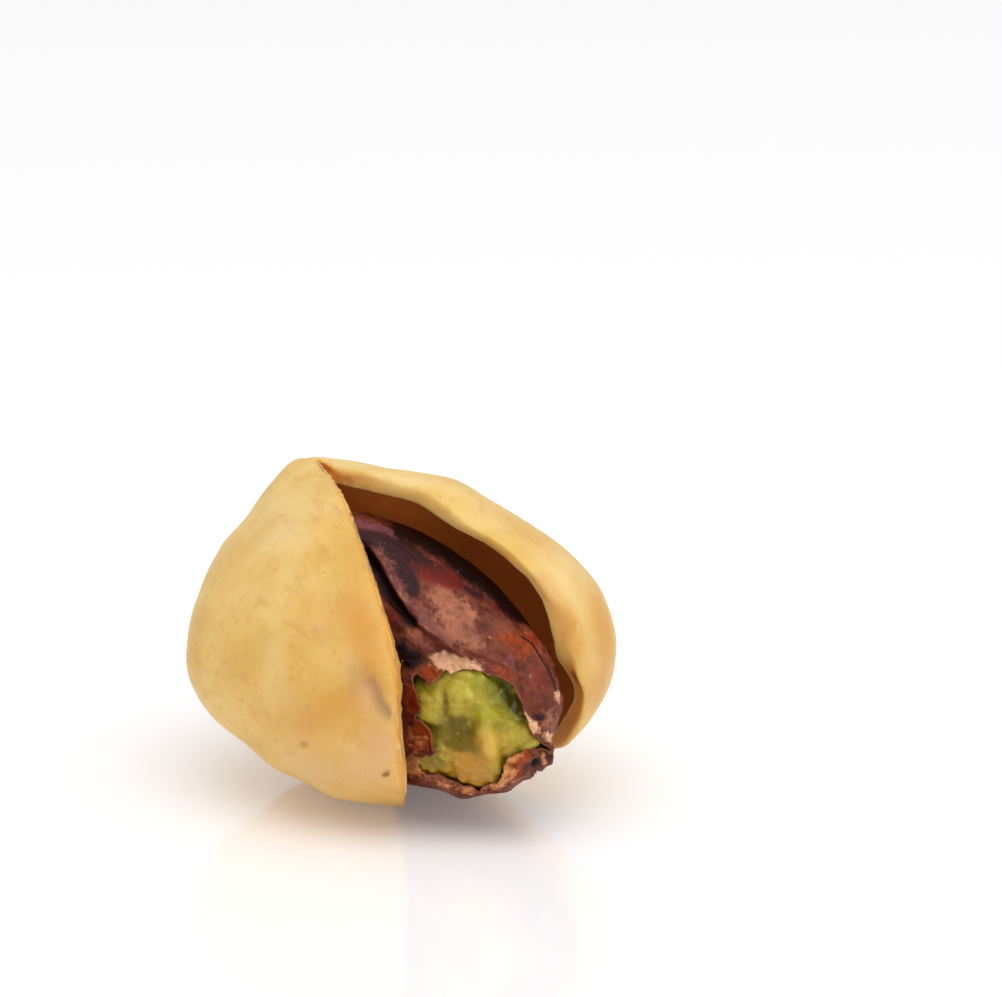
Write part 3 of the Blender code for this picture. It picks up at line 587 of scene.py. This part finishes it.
# The skin: a papery coat, folded and puckered where it dried
skinIs = {
    "detail": 6,
    "thickness": 0.07,
    "facing": (0.15, 3.0),
    "folds": (
        band(((-0.7, 3.55), (-0.32, 3.26), (0.1, 3.0), (0.54, 2.45), (0.82, 1.88), (1.22, 1.2),
              (1.68, 0.5), (2.25, -0.07), (2.8, -0.5)), 0.95, 0.07, height=0.3),
        band(((2.8, -0.5), (3.37, -0.62), (3.85, -0.82), (4.3, -0.98), (4.78, -1.2)),
             0.5, 0.06, height=0.1),
        band(((-0.25, 3.15), (0.2, 2.5), (0.55, 1.85), (0.88, 1.22), (1.3, 0.7), (1.65, 0.35)),
             0.24, 0.26, height=-0.2),
        band(((0.09, 2.0), (0.35, 1.5), (0.66, 1.1), (1.25, 0.65), (1.75, 0.25), (2.3, -0.1),
              (2.84, -0.49), (3.5, -0.93), (3.98, -1.27)), 0.06, 0.4, height=0.1),
        band(((5.07, 0.41), (5.52, 0.19), (5.91, -0.06), (6.21, -0.38), (6.5, -0.72), (6.85, -1.21),
              (7.09, -1.61), (7.34, -2.1), (7.63, -2.64)), 0.22, 0.6, height=0.2),
        band(((5.86, -0.25), (6.21, -0.47), (6.45, -0.82), (6.65, -1.16), (6.85, -1.46), (7.09, -2)),
             0.07, 0.035, height=-0.17),
        band(((7.04, -1.61), (7.14, -2), (7.19, -2.39)), 0.12, 0.06, height=-0.25),
        band(((5.52, -0.62), (5.76, -1.21), (5.91, -1.95), (6.11, -2.69), (6.4, -3.38)),
             0.16, 0.16, height=-0.12),
        band(((6.21, -1.02), (6.6, -1.7), (6.85, -2.34), (6.99, -2.93)), 0.4, 0.35, height=0.16),
        band(((5.52, -2), (5.71, -2.49), (5.96, -2.98), (6.21, -3.43)), 0.12, 0.2, height=0.08),
        band(((6.16, -3.53), (6.4, -3.43), (6.7, -3.5), (6.85, -3.38)), 0.06, 0.12, height=-0.04),
        band(((6.21, -3.67), (6.55, -4.02), (6.85, -4.31)), 0.12, 0.05, height=0.08),
        band(((4.93, -5.24), (5.16, -5.12), (5.37, -4.94), (5.69, -4.72), (6.01, -4.65)),
             0.06, 0.5, height=0.42),
        band(((5.02, -5.26), (5.23, -5.22), (5.44, -5.01), (5.51, -4.94)), 0.05, 0.05, height=-0.12),
        band(((5.3, -5.54), (5.48, -5.37), (5.8, -5.26), (5.98, -4.97)), 0.1, 0.1, height=0.12),
        band(((1.2, -5.58), (1.77, -5.62), (2.23, -5.65), (2.84, -5.76), (3.41, -5.94), (3.91, -6.01),
              (4.44, -5.94)), 0.1, 0.35, height=0.26),
        band(((6.76, -4.43), (6.85, -4.72), (6.73, -5.12), (6.59, -5.44)), 0.3, 0.08, height=0.32),
    ),
    "hollows": (
        oval((6.34, -5.04), (0.3, 0.36), -15, depth=0.55),
        oval((4.52, -6.08), (0.18, 0.21), depth=0.12),
        oval((4.37, 0.2), (0.33, 0.3), depth=0.07),
        oval((3.12, 1.16), (0.59, 0.96), 40, depth=-0.08),
        oval((2.05, -1.26), (0.39, 0.32), depth=0.12),
    ),
    "wrinkles": ((0.045, 0.6, 3), (0.028, 0.26, 1.1), (0.014, 0.12, 0.3), (0.006, 0.05, 0.09)),
    "lift": 0.05,
    "liftReach": 0.25,
    "tearReach": 2.0,  # the torn edge's distance is kept up to here
    "lifts": (
        oval((5.62, -2.94), (0.39, 0.93), 28, height=0.3),
        oval((2.45, -2.01), (0.21, 0.21), height=0.28),
        oval((1.95, -2.94), (0.18, 0.32), height=0.04),
        oval((2.52, -4.37), (0.21, 0.39), height=0.22),
        oval((3.73, -1.48), (0.71, 0.14), height=0.06),
    ),
    "ground": ("#471C16", "#6B3021", "#80402B", "#935439"),
    "paint": {
        # of these, the pale orange is partly painted light in the left valve's shade, and the near black is
        # painted shade
        "rust": "#923B13", "tan": "#A5654A", "crimson": "#701D15", "plum": "#38171B", "ember": "#7A240C",
        "rose": "#864C43", "paleAndPaintedLight": "#D38E56", "pale": "#DDA67F", "lilac": "#7A4450", "paintedShade": "#1A0706",
    },
    "nudges": (  # small moves, right and up, that bring the torn outline to the real one
        oval((3.60, -6.20), (0.5, 0.35), move=(0.0, -0.2)),
        oval((5.20, -5.90), (0.7, 0.45), move=(0.05, -0.30)),
        oval((6.25, -5.30), (0.5, 0.4), move=(0.08, -0.35)),
        oval((6.75, -4.90), (0.3, 0.4), move=(0.0, -0.55)),
        oval((7.20, -4.45), (0.3, 0.3), move=(-0.32, -0.05)),
    ),
    "colours": {
        # pale curled and torn skin, made brighter as painted light where it lies in the left valve's shade
        "paleAndPaintedLight": (
            oval((1.65, -5.2), (0.55, 0.45), share=1),
            oval((5.05, -5.6), (0.6, 0.4), 30, share=1),
            oval((2.0, -4.2), (0.4, 0.3), share=0.4),
            oval((3.1, -5.95), (0.9, 0.14), -8, share=0.5),
            oval((6.7, -4.95), (0.14, 0.35), 10, share=0.7),
            oval((5.5, -4.95), (0.35, 0.12), 25, share=0.9),
            oval((1.55, -3.9), (0.2, 0.5), share=0.5),
            oval((6.8, -3.5), (0.3, 0.6), -10, share=0.15),
            oval((7.1, -2.9), (0.16, 0.5), 10, share=0.3),
            oval((3.7, -6.2), (0.5, 0.2), share=0.5),
        ),
        "plum": (
            oval((0.61, 2.97), (1.03, 1.11), -50, share=1),
            oval((1.46, 2.01), (0.41, 0.63), 40, share=0.9),
            oval((1.6, 1.65), (0.28, 0.5), 35, share=0.7),
            oval((-0.1, 3.6), (0.6, 0.28), -25, share=1),
            oval((2.1, 2.75), (1.5, 0.3), -33, share=0.6),
            oval((4.39, 0.16), (0.54, 0.34), -10, share=0.5),
            oval((5.52, -1.21), (0.3, 0.64), 12, share=0.45),
            oval((4.63, -0.92), (0.74, 0.34), -30, share=0.25),
            oval((4.11, 1.42), (0.63, 0.22), -30, share=0.8),
            oval((0.83, 1.5), (0.41, 0.33), -40, share=0.8),
            oval((5.81, -2.59), (0.2, 0.6), 20, share=0.25),
            oval((6.55, -3.33), (0.34, 0.15), share=0.9),
        ),
        "crimson": (
            oval((2.3, 2.35), (1.2, 0.5), -28, share=0.85),
            oval((3.3, 1.9), (0.63, 0.26), -30, share=0.75),
            oval((0.98, 0.68), (0.44, 0.41), -40, share=0.8),
            oval((6.6, -1.9), (0.5, 1.1), 20, share=0.45),
            oval((4.98, 0.95), (0.79, 0.25), -30, share=0.5),
        ),
        "tan": (
            oval((3.04, 1.05), (0.63, 0.96), 38, share=1),
            oval((3.9, 0.6), (0.4, 0.4), -20, share=0.5),
            oval((6.85, -3.5), (0.3, 0.55), -5, share=0.7),
            oval((3.56, 0.13), (0.74, 0.33), -30, share=0.7),
            oval((1.79, -0.13), (0.44, 0.26), -25, share=0.8),
            oval((3.5, -0.33), (0.79, 0.3), -25, share=0.6),
            oval((1.63, -5.15), (0.32, 0.39), share=0.7),
            oval((2.3, -5.72), (1.18, 0.18), -5, share=0.6),
            oval((4.24, -0.43), (0.59, 0.25), -30, share=0.4),
            band(((1.75, 0.6), (2.3, 0.1), (2.9, -0.4)), 0.25, 0.12, share=0.9),
        ),
        "rust": (
            oval((2.23, 2.31), (0.33, 0.3), share=0.8),
            oval((6.0, -0.7), (0.6, 0.75), -40, share=0.8),
            oval((5.4, -0.3), (0.6, 0.3), -10, share=0.7),
            oval((5.22, -1.66), (0.39, 0.25), -30, share=0.8),
            oval((2.38, -1.55), (0.5, 0.32), share=1),
            oval((1.63, -2.62), (0.39, 0.68), share=0.9),
            oval((1.88, -4.05), (0.64, 0.57), share=1),
            oval((5.44, -5.29), (0.61, 0.57), share=1),
            oval((5.98, -4.72), (0.43, 0.21), share=0.9),
            oval((3.73, -6.11), (0.78, 0.25), share=0.6),
            oval((7.48, -3.92), (0.39, 0.54), share=0.7),
        ),
        "ember": (
            oval((1.66, -2.73), (0.21, 0.54), share=0.7),
            oval((2.13, -4.33), (0.32, 0.21), share=0.3),
            oval((6.35, -0.43), (0.3, 0.25), -45, share=0.5),
            oval((7.44, -2.69), (0.3, 0.84), share=0.7),
        ),
        "pale": (
            band(((2.84, -1.1), (3.12, -1.3), (3.45, -1.42), (3.91, -1.48), (4.15, -1.55)),
                 0.27, 0.4, share=1),
            oval((3.45, -1.14), (0.5, 0.16), -8, share=0.8),
            oval((4.7, -1.77), (0.3, 0.12), -22, share=0.25),
            oval((2.95, -1.10), (0.46, 0.3), -20, share=0.9),
            oval((6.3, -3.72), (0.3, 0.25), -30, share=0.8),
            oval((6.01, -3.33), (0.11, 0.3), 28, share=1),
            oval((7.24, -2.59), (0.15, 0.39), 10, share=0.7),
            oval((6.89, -4.16), (0.3, 0.3), share=0.6),
            band(((0.25, 2.85), (0.6, 2.4), (0.88, 1.85), (1.28, 1.18), (1.72, 0.5), (2.28, -0.07)),
                 0.2, 0.07, share=0.25),
            oval((2.23, -5.58), (0.71, 0.06), -5, share=0.5),
        ),
        "lilac": (
            band(((-0.68, 4.34), (-0.13, 4.15), (0.42, 4.02), (0.79, 3.89), (1.09, 3.69)),
                 0.1, 0.2, share=0.8),
            oval((5.57, -1.36), (0.15, 0.39), 8, share=0.5),
        ),
        "rose": (
            band(((0.2, 2.9), (0.6, 2.4), (0.88, 1.85), (1.28, 1.18), (1.72, 0.5), (2.28, -0.07),
                  (2.9, -0.5)), 0.4, 0.1, share=0.9),
            oval((5.4, -1.2), (0.4, 0.5), 10, share=0.5),
            oval((3.9, -0.1), (0.8, 0.35), -28, share=0.5),
            oval((2.1, 0.65), (0.5, 0.26), -45, share=0.7),
            oval((2.3, -0.6), (0.9, 0.2), -30, share=0.6),
        ),
        # painted shade: near black in the shadow under the skin's upper edge, in the fold's valley, along
        # the crack and in the hollow under the tip
        "paintedShade": (
            band(((1.27, 3.82), (1.94, 3.56), (2.67, 3.19), (3.3, 2.68), (3.93, 2.16), (4.67, 1.61),
                  (5.22, 1.13), (5.77, 0.54)), 0.6, 0.36, share=1),
            band(((-0.1, 3.1), (0.3, 2.55), (0.62, 1.9), (0.96, 1.25), (1.38, 0.72), (1.7, 0.4)),
                 0.22, 0.3, share=1),
            oval((1.63, -1.08), (0.6, 0.45), 10, share=0.85),
            oval((6.36, -5.08), (0.27, 0.2), 25, share=0.9),
            oval((1.15, -0.6), (0.4, 0.5), share=0.75),
            band(((5.86, -0.25), (6.21, -0.47), (6.45, -0.82), (6.65, -1.16), (6.85, -1.46), (7.09, -2),
                  (7.16, -2.34)), 0.06, 0.03, share=0.9),
            oval((6.6, -3.43), (0.25, 0.09), share=0.7),
            band(((1.75, 0.25), (2.3, -0.1), (2.84, -0.49), (3.5, -0.93), (3.98, -1.27)),
                 0.035, 0.035, share=0.6),
        ),
    },
}


def cutTear(hull):
    # drops the faces inside the torn outline, then evens the ragged line a little
    gone = []
    for face in hull.faces:
        middle = face.calc_center_median()
        x, y, depth = seenFromFront(middle)
        if depth < tearIs["front"]:
            continue
        for far, length in tearIs["ragged"]:
            x += far * noise.noise(middle / length + Vector((0.0, 5.0, 0.0)))
            y += far * noise.noise(middle / length + Vector((9.0, 0.0, 2.0)))
        if insideTear(x, y):
            gone.append(face)
    bmesh.ops.delete(hull, geom=gone, context="FACES")
    rim = [vertex for vertex in hull.verts if vertex.is_boundary]
    bmesh.ops.smooth_vert(hull, verts=rim, factor=0.5, use_axis_x=True, use_axis_y=True, use_axis_z=True)
    return rim


def makeSkin():
    hull = seedShape(skinIs["detail"], 0.0)
    rim = cutTear(hull)
    torn = kdtree.KDTree(len(rim))
    for index, vertex in enumerate(rim):
        torn.insert(vertex.co, index)
    torn.balance()

    hull.verts.ensure_lookup_table()
    marks = {name: [] for name in skinIs["colours"]}
    fromTear = []
    moved = []
    for vertex in hull.verts:
        place, normal = vertex.co.copy(), vertex.normal.copy()
        x, y = seenFromFront(place)[:2]
        seed = seedPlace(place)
        facing = facesViewer(normal, skinIs["facing"])
        away = torn.find(place)[2]
        height = 0.0
        if facing > 0.0:
            height += patchSum(x, y, skinIs["folds"], "height") * facing
            height -= patchSum(x, y, skinIs["hollows"], "depth") * facing
            lift = skinIs["lift"] + patchSum(x, y, skinIs["lifts"], "height")
            height += lift * bell(away, skinIs["liftReach"]) * facing
        for tall, across, along in skinIs["wrinkles"]:
            stretched = Vector((seed.x / across, seed.y / across, seed.z / along))
            height += tall * noise.noise(stretched + Vector((3.0, 8.0, across * 50.0)))
        move = normal * height
        for nudge in skinIs["nudges"]:
            amount = patchAmount(x, y, nudge)
            move += (viewRight * nudge["move"][0] + viewUp * nudge["move"][1]) * amount
        moved.append(place + move)
        x, y = seenFromFront(moved[-1])[:2]
        fromTear.append(min(away, skinIs["tearReach"]))
        for name, patches in skinIs["colours"].items():
            marks[name].append(min(patchSum(x, y, patches, "share"), 1.0) * facing)
    for vertex, place in zip(hull.verts, moved):
        vertex.co = place

    layers = {name: hull.verts.layers.float.new(name) for name in list(marks) + ["fromTear"]}
    for index, vertex in enumerate(hull.verts):
        for name in marks:
            vertex[layers[name]] = marks[name][index]
        vertex[layers["fromTear"]] = fromTear[index]
    mesh = finishedMesh(hull, "skinFinished", [
        ("SOLIDIFY", {"thickness": skinIs["thickness"], "offset": -1.0})])
    return finishPiece(mesh, "pistachioSkin", papery(), "skin")


def papery():
    # The testa: a dry, thin seed coat, dull and brittle. Crimson and plum where it kept its pigment, rust
    # and tan where it rubbed, in patches with frayed edges, and fibres about 0.1 mm across that run the
    # length of the seed. Near black is painted shade under its upper edge and in its folds, crack and
    # hollows, and its pale torn skin is painted lighter, as painted light, where the left valve shades it.
    material, tree = newMaterial("driedSeedSkin")
    place = addNode(tree, "TexCoord").outputs["Object"]
    turned = addNode(tree, "Mapping", inputs={
        "Vector": place, "Scale": (1.0, 0.16, 1.0), "Rotation": (
            math.radians(-seedIs["elevation"]), 0.0, math.radians(-seedIs["azimuth"]))}).outputs["Vector"]
    fibre, streak, cloud, grain = (
        addNode(tree, "TexNoise", inputs={
            "Vector": where, "Scale": scale, "Detail": detail, "Roughness": rough}).outputs["Fac"]
        for where, scale, detail, rough in (
            (turned, 5200.0, 5.0, 0.65), (turned, 1700.0, 4.0, 0.6),
            (place, 900.0, 5.0, 0.62), (place, 4200.0, 3.0, 0.6)))
    ground = addNode(tree, "ValToRGB", inputs={"Fac": cloud}, stops=[
        (spot, hexColour(code)) for spot, code in zip((0.3, 0.45, 0.6, 0.72), skinIs["ground"])])
    edges = addNode(tree, "MixRGB", inputs={
        "Fac": 0.55, "Color1": streak, "Color2": fibre}).outputs["Color"]
    edges = addNode(tree, "MixRGB", inputs={
        "Fac": 0.25, "Color1": edges, "Color2": grain}).outputs["Color"]
    marks = brokenMarks(tree, skinIs["paint"], edges, 2.4)
    fromTear = addNode(tree, "Attribute", {"attribute_name": "fromTear"}).outputs["Fac"]
    frayed = addNode(tree, "Math", {"operation": "MULTIPLY_ADD"}, {0: grain, 1: 0.2, 2: fromTear})
    colour = paintLayers(tree, ground.outputs["Color"],
                         [(marks[name], 0.22, 0.78, 1.0, code) for name, code in skinIs["paint"].items()])
    light = addNode(tree, "MapRange", inputs={
        "Value": edges, "From Min": 0.38, "From Max": 0.62, "To Min": 0.45, "To Max": 1.55})
    colour = addNode(tree, "MixRGB", {"blend_type": "MULTIPLY"}, {
        "Fac": 0.85, "Color1": colour, "Color2": light.outputs["Result"]}).outputs["Color"]
    colour = paintLayers(tree, colour, [
        (frayed.outputs[0], 0.15, 0.1, 0.3, "#C08258"),
        (grain, 0.7, 0.76, 0.55, "#D9BBA6")])
    height = addNode(tree, "Math", {"operation": "MULTIPLY_ADD"},
                     {0: grain, 1: 0.5, 2: fibre})
    bump = addNode(tree, "Bump", inputs={"Strength": 0.8, "Distance": 0.00008, "Height": height.outputs[0]})
    shader = addNode(tree, "BsdfPrincipled", inputs={
        "Base Color": colour, "Roughness": 0.5, "IOR": 1.45, "Normal": bump.outputs["Normal"],
        "Subsurface Weight": 0.08, "Subsurface Radius": (1.0, 0.4, 0.2), "Subsurface Scale": 0.0003,
        "Specular IOR Level": 0.2})
    addNode(tree, "OutputMaterial", inputs={"Surface": shader.outputs["BSDF"]})
    return material


# The kernel: a waxy green seed, shrunk into soft facets
kernelIs = {
    "detail": 5,
    "inset": 0.46,
    "facing": (0.1, 4.0),
    "bare": oval((3.9, -3.75), (2.75, 2.5), height=0.41),  # where it swells through the tear
    "bareEdge": (1.25, 0.45),  # where that ends, and over how much of its half width it falls
    "bumps": (
        oval((3.91, -2.12), (0.78, 0.71), height=0.1),
        oval((5.19, -2.6), (0.48, 1.05), 38, height=-0.2),
        oval((3.48, -3.76), (0.75, 0.61), -15, height=-0.42),
        oval((2.38, -3.65), (0.43, 0.25), -30, height=-0.1),
        oval((3.02, -2.65), (0.25, 0.61), 5, height=-0.12),
        oval((4.52, -3.3), (0.46, 0.39), height=0.2),
        oval((4.19, -5.1), (0.68, 0.5), height=0.08),
        oval((6.34, -5.04), (0.5, 0.5), height=-0.7),
        oval((5.62, -4.15), (0.61, 0.46), -10, height=0.07),
        oval((2.13, -2.01), (0.32, 0.39), height=-0.08),
        oval((2.34, -2.94), (0.36, 0.46), height=0.05),
        oval((3.2, -5.75), (1.6, 0.35), -12, height=0.2),
    ),
    "ridges": (
        band(((4.42, -1.98), (4.37, -2.37), (4.23, -2.73)), 0.12, 0.4, height=0.13),
        band(((4.44, -2.8), (4.69, -3.08), (4.93, -3.26)), 0.1, 0.3, height=0.2),
        band(((4.59, -3.44), (4.75, -3.87), (4.85, -4.26), (4.89, -4.65), (4.93, -4.97), (4.8, -5.44)),
             0.13, 0.45, height=0.26),
        band(((4.77, -3.58), (4.93, -4.01), (5, -4.37), (5.16, -4.76), (5.19, -4.97)),
             0.3, 0.12, height=-0.18),
        band(((2.77, -4.83), (3.2, -5.12), (3.41, -5.44), (3.55, -5.79)), 0.14, 0.25, height=-0.2),
        band(((2.98, -4.26), (3.55, -4.51), (4.19, -4.37), (4.37, -4.08)), 0.25, 0.4, height=0.08),
    ),
    "pits": ((0.06, 0.9), (0.03, 0.4), (0.009, 0.13)),
    "creases": (0.11, 0.75, 0.16),  # depth, spacing and width of the soft creases between its small facets
    "flesh": ("#8F7D1C", "#B09C2E", "#C9B848"),
    "paint": {
        # the dark olive is painted shade in the hollows, and the darkest green is painted shade under the
        # skin's edge
        "amber": "#C08A28", "lime": "#A8A024", "leaf": "#86841A", "hollowShade": "#74600F", "gold": "#DDB54A",
        "deep": "#4A430A",
    },
    "colours": {
        # painted shade: dark olive in the kernel's hollows and valleys
        "hollowShade": (
            oval((3.48, -3.72), (0.8, 0.6), -10, share=0.9),
            oval((2.34, -3.65), (0.39, 0.21), -30, share=0.9),
            oval((3.0, -2.72), (0.22, 0.6), 5, share=0.85),
            oval((2.05, -1.98), (0.32, 0.39), share=0.6),
            oval((3.7, -4.33), (0.78, 0.21), -15, share=0.6),
        ),
        # painted shade: darkest green where the lifted skin shades the kernel, and in the top of its hollow
        "deep": (
            oval((5.3, -2.55), (0.27, 0.95), 38, share=1),
            oval((5.66, -3.15), (0.14, 0.4), 30, share=0.8),
            oval((3.4, -3.5), (0.55, 0.22), -8, share=0.4),
            oval((2.35, -3.6), (0.3, 0.14), -30, share=0.3),
        ),
        "leaf": (
            oval((4.85, -2.3), (0.5, 0.95), 38, share=1),
            oval((5.4, -3.2), (0.2, 0.5), 30, share=0.6),
        ),
        "amber": (
            oval((4.12, -5.15), (0.82, 0.68), share=0.9),
            oval((4.52, -4.15), (0.32, 0.57), 10, share=0.6),
            oval((3.75, -4.4), (0.85, 0.42), -10, share=0.75),
            oval((3.34, -5.22), (0.18, 0.46), 40, share=0.7),
            oval((2.5, -5.2), (0.7, 0.3), -12, share=0.5),
            oval((2.1, -2.75), (0.25, 0.4), share=0.5),
            oval((5.2, -4.65), (0.3, 0.25), share=0.6),
        ),
        "gold": (
            oval((4.62, -4.08), (0.21, 0.57), 12, share=1),
            oval((5.41, -3.94), (0.71, 0.21), 10, share=0.45),
            oval((5.3, -4.5), (0.5, 0.3), share=0.6),
            oval((4.62, -5.69), (0.43, 0.18), 35, share=0.7),
        ),
        "lime": (
            oval((4.16, -2.12), (0.21, 0.39), share=0.9),
            oval((4.52, -3.15), (0.39, 0.32), share=1),
            oval((5.02, -4.83), (0.18, 0.39), share=0.8),
            oval((3.77, -2.94), (0.29, 0.36), share=0.3),
        ),
    },
}


def makeKernel():
    seed = seedShape(kernelIs["detail"], kernelIs["inset"])
    marks = {name: [] for name in kernelIs["colours"]}
    moved = []
    for vertex in seed.verts:
        place, normal = vertex.co.copy(), vertex.normal.copy()
        x, y = seenFromFront(place)[:2]
        facing = facesViewer(normal, kernelIs["facing"])
        height = 0.0
        if facing > 0.0:
            bare, (end, fall) = kernelIs["bare"], kernelIs["bareEdge"]
            (atX, atY), (wide, tall) = bare["at"], bare["size"]
            off = math.hypot((x - atX) / wide, (y - atY) / tall)
            height += bare["height"] * smooth((end - off) / fall)
            height += patchSum(x, y, kernelIs["bumps"], "height")
            height += patchSum(x, y, kernelIs["ridges"], "height")
            height *= facing
        height += sum(tall * noise.noise(place / spacing) for tall, spacing in kernelIs["pits"])
        deep, spacing, width = kernelIs["creases"]
        nearest, second = noise.voronoi(place / spacing)[0][:2]
        height -= deep * bell(second - nearest, width / spacing)
        moved.append(place + normal * height)
        for name, patches in kernelIs["colours"].items():
            marks[name].append(min(patchSum(x, y, patches, "share"), 1.0) * facing)
    for vertex, place in zip(seed.verts, moved):
        vertex.co = place
    mesh = finishedMesh(seed, "kernelFinished")
    for name, values in marks.items():
        putAttribute(mesh, name, values)
    return finishPiece(mesh, "pistachioKernel", waxyKernel(), "kernel")


def waxyKernel():
    # The cotyledons: dense, oily seed flesh, so light goes in about half a millimetre and it has a waxy
    # gloss. Green under the skin, yellow where it is dry, amber where it was roasted, in soft patches of
    # 1 to 2 mm. Dark olive in its hollows and the darkest green under the skin's lifted edge are painted
    # shade, and its pale specks are painted glints.
    material, tree = newMaterial("oilySeedFlesh")
    place = addNode(tree, "TexCoord").outputs["Object"]
    cloud, grain, mottle = (
        addNode(tree, "TexNoise", inputs={
            "Vector": place, "Scale": scale, "Detail": detail, "Roughness": rough}).outputs["Fac"]
        for scale, detail, rough in ((700.0, 4.0, 0.55), (3500.0, 3.0, 0.6), (1900.0, 4.0, 0.6)))
    flesh = addNode(tree, "ValToRGB", inputs={"Fac": cloud}, stops=[
        (spot, hexColour(code)) for spot, code in zip((0.32, 0.5, 0.68), kernelIs["flesh"])])
    marks = brokenMarks(tree, kernelIs["paint"], mottle, 1.3)
    colour = paintLayers(tree, flesh.outputs["Color"], [
        (mottle, 0.5, 0.7, 0.5, "#8E7A22"),
        (mottle, 0.5, 0.3, 0.5, "#CFC258")]
        + [(marks[name], 0.15, 0.85, 0.95, code) for name, code in kernelIs["paint"].items()]
        # pale specks, painted glints of the oily surface
        + [(grain, 0.62, 0.75, 0.35, "#D9CC78")])
    bump = addNode(tree, "Bump", inputs={"Strength": 0.5, "Distance": 0.00005, "Height": grain})
    shader = addNode(tree, "BsdfPrincipled", inputs={
        "Base Color": colour, "Roughness": 0.32, "IOR": 1.48, "Normal": bump.outputs["Normal"],
        "Specular IOR Level": 0.3,
        "Subsurface Weight": 0.3, "Subsurface Radius": (0.9, 1.0, 0.3), "Subsurface Scale": 0.0003})
    addNode(tree, "OutputMaterial", inputs={"Surface": shader.outputs["BSDF"]})
    return material


# The stage: a glossy white sheet, soft light all round and a larger, softer one from above
stageIs = {
    "floor": "#F6F5F7",
    "floorSize": 3.0,
    "sky": 0.68,
    "glow": 0.14,
    "key": {"azimuth": -10.0, "elevation": 68.0, "distance": 1.5, "size": 1.5, "power": 12.0},
    "fill": {"azimuth": 60.0, "elevation": 35.0, "distance": 1.5, "size": 1.2, "power": 2.4},
}


def makeStage():
    floor = bmesh.new()
    bmesh.ops.create_grid(floor, x_segments=1, y_segments=1, size=stageIs["floorSize"] / 2.0)
    mesh = finishedMesh(floor, "floor")
    # opal acrylic: white all through, with a soft mirror on top
    material, tree = newMaterial("glossyWhiteSheet")
    shader = addNode(tree, "BsdfPrincipled", inputs={
        "Base Color": hexColour(stageIs["floor"]), "Roughness": 0.12, "IOR": 1.49,
        "Emission Color": hexColour(stageIs["floor"]), "Emission Strength": stageIs["glow"]})
    addNode(tree, "OutputMaterial", inputs={"Surface": shader.outputs["BSDF"]})
    mesh.materials.append(material)
    sheet = bpy.data.objects.new("floor", mesh)
    bpy.context.scene.collection.objects.link(sheet)

    world = bpy.data.worlds.new("softRoom")
    world.use_nodes = True
    world.node_tree.nodes["Background"].inputs["Color"].default_value = (1.0, 1.0, 1.0, 1.0)
    world.node_tree.nodes["Background"].inputs["Strength"].default_value = stageIs["sky"]
    bpy.context.scene.world = world

    for name in ("key", "fill"):
        light = stageIs[name]
        towards = axesOf(light["azimuth"], light["elevation"])[2]
        lamp = bpy.data.lights.new(name, "AREA")
        lamp.size, lamp.energy = light["size"], light["power"]
        item = bpy.data.objects.new(name, lamp)
        item.location = towards * light["distance"]
        item.rotation_euler = towards.to_track_quat("Z", "Y").to_euler()
        bpy.context.scene.collection.objects.link(item)


def makeCamera():
    eye = viewIs["nutMiddle"] + viewTowards * viewIs["distance"]
    aim = viewIs["nutMiddle"] + viewRight * viewIs["aimRight"] + viewUp * viewIs["aimUp"]
    camera = bpy.data.objects.new("camera", bpy.data.cameras.new("camera"))
    camera.data.lens, camera.data.sensor_width = viewIs["lens"], viewIs["sensor"]
    camera.data.clip_start, camera.data.clip_end = viewIs["clip"]
    camera.location = eye * mm
    camera.rotation_euler = (eye - aim).to_track_quat("Z", "Y").to_euler()
    bpy.context.scene.collection.objects.link(camera)
    bpy.context.scene.camera = camera
    bpy.context.scene.view_settings.view_transform = "Standard"


makeCamera()
makeStage()
print("camera and stage made")
makeShell()
makeSkin()
makeKernel()
